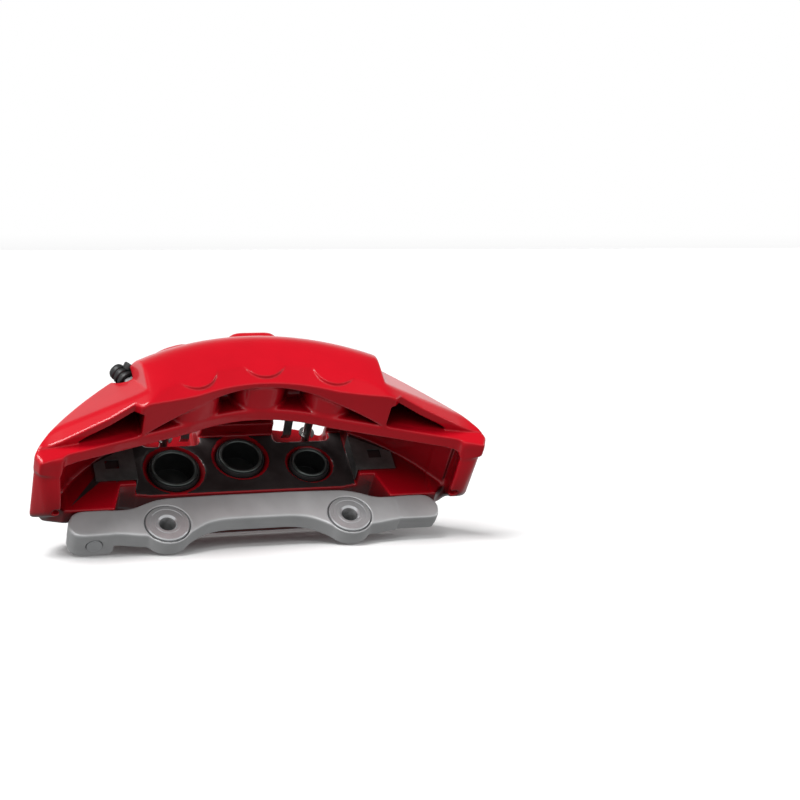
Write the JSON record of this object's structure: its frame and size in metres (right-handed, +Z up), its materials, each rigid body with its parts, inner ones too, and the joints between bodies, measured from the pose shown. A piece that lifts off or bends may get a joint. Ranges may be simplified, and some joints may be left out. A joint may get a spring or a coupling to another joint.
{
  "type": "brake caliper",
  "caption": "Fixed disc brake caliper in red paint with opposed pistons, pad windows, pins and springs, bolted to a cast aluminium knuckle bracket.",
  "frame": {"origin": "middle of the base of the bounding box, on the floor the caliper lies on", "axes": "+X along the disc rim, +Y away from the face that shows, +Z up; the wheel axle direction lies 48.7 degrees below +Y"},
  "size_m": [0.354, 0.1668, 0.1679],
  "materials": {
    "red_paint": "gloss",
    "cast_aluminium": "satin",
    "zinc_steel": "satin",
    "stainless": "satin",
    "piston_metal": "satin",
    "black_rubber": "matte",
    "black_plastic": "matte"
  },
  "bodies": {
    "root": {"caliper_body": "red_paint", "mounting_bracket": "cast_aluminium", "seal_outboard_leading": "black_rubber", "boot_outboard_leading": "black_rubber", "seal_outboard_middle": "black_rubber", "boot_outboard_middle": "black_rubber", "seal_outboard_trailing": "black_rubber", "boot_outboard_trailing": "black_rubber", "abutment_outboard_left": "stainless", "abutment_outboard_right": "stainless", "seal_inboard_leading": "black_rubber", "boot_inboard_leading": "black_rubber", "seal_inboard_middle": "black_rubber", "boot_inboard_middle": "black_rubber", "seal_inboard_trailing": "black_rubber", "boot_inboard_trailing": "black_rubber", "abutment_inboard_left": "stainless", "abutment_inboard_right": "stainless", "bracket_bush_left": "zinc_steel", "radial_bolt_left": "zinc_steel", "bolt_washer_left": "zinc_steel", "pad_pin_left": "stainless", "pin_clip_left": "stainless", "pad_spring_left": "stainless", "bracket_bush_right": "zinc_steel", "radial_bolt_right": "zinc_steel", "bolt_washer_right": "zinc_steel", "pad_pin_right": "stainless", "pin_clip_right": "stainless", "pad_spring_right": "stainless", "hose_port_plug": "black_plastic"},
    "piston_outboard_leading": {"piston_outboard_leading": "piston_metal"},
    "piston_outboard_middle": {"piston_outboard_middle": "piston_metal"},
    "piston_outboard_trailing": {"piston_outboard_trailing": "piston_metal"},
    "piston_inboard_leading": {"piston_inboard_leading": "piston_metal"},
    "piston_inboard_middle": {"piston_inboard_middle": "piston_metal"},
    "piston_inboard_trailing": {"piston_inboard_trailing": "piston_metal"},
    "bleed_screw_outboard": {"bleed_screw_outboard": "zinc_steel"},
    "bleed_cap_outboard": {"bleed_cap_outboard": "black_rubber"},
    "bleed_screw_inboard": {"bleed_screw_inboard": "zinc_steel"},
    "bleed_cap_inboard": {"bleed_cap_inboard": "black_rubber"}
  },
  "joints": [
    {"name": "piston_outboard_leading_slide", "type": "slide", "parent": "root", "child": "piston_outboard_leading", "axis": [0, 0.66, -0.7513], "range_m": [0, 0.015], "deforming": ["boot_outboard_leading"]},
    {"name": "piston_outboard_middle_slide", "type": "slide", "parent": "root", "child": "piston_outboard_middle", "axis": [0, 0.66, -0.7513], "range_m": [0, 0.015], "deforming": ["boot_outboard_middle"]},
    {"name": "piston_outboard_trailing_slide", "type": "slide", "parent": "root", "child": "piston_outboard_trailing", "axis": [0, 0.66, -0.7513], "range_m": [0, 0.015], "deforming": ["boot_outboard_trailing"]},
    {"name": "piston_inboard_leading_slide", "type": "slide", "parent": "root", "child": "piston_inboard_leading", "axis": [0, -0.66, 0.7513], "range_m": [0, 0.015], "deforming": ["boot_inboard_leading"]},
    {"name": "piston_inboard_middle_slide", "type": "slide", "parent": "root", "child": "piston_inboard_middle", "axis": [0, -0.66, 0.7513], "range_m": [0, 0.015], "deforming": ["boot_inboard_middle"]},
    {"name": "piston_inboard_trailing_slide", "type": "slide", "parent": "root", "child": "piston_inboard_trailing", "axis": [0, -0.66, 0.7513], "range_m": [0, 0.015], "deforming": ["boot_inboard_trailing"]},
    {"name": "bleed_screw_outboard_turn", "type": "hinge", "parent": "root", "child": "bleed_screw_outboard", "pos_m": [-0.09963, -0.02485, 0.13303], "axis": [-0.5075, 0.6473, 0.5687], "range_deg": [0, 180]},
    {"name": "bleed_cap_outboard_pull", "type": "slide", "parent": "bleed_screw_outboard", "child": "bleed_cap_outboard", "axis": [-0.5075, 0.6473, 0.5687], "range_m": [0, 0.015]},
    {"name": "bleed_screw_inboard_turn", "type": "hinge", "parent": "root", "child": "bleed_screw_inboard", "pos_m": [-0.09963, 0.05435, 0.04288], "axis": [-0.5075, 0.6473, 0.5687], "range_deg": [0, 180]},
    {"name": "bleed_cap_inboard_pull", "type": "slide", "parent": "bleed_screw_inboard", "child": "bleed_cap_inboard", "axis": [-0.5075, 0.6473, 0.5687], "range_m": [0, 0.015]}
  ]
}
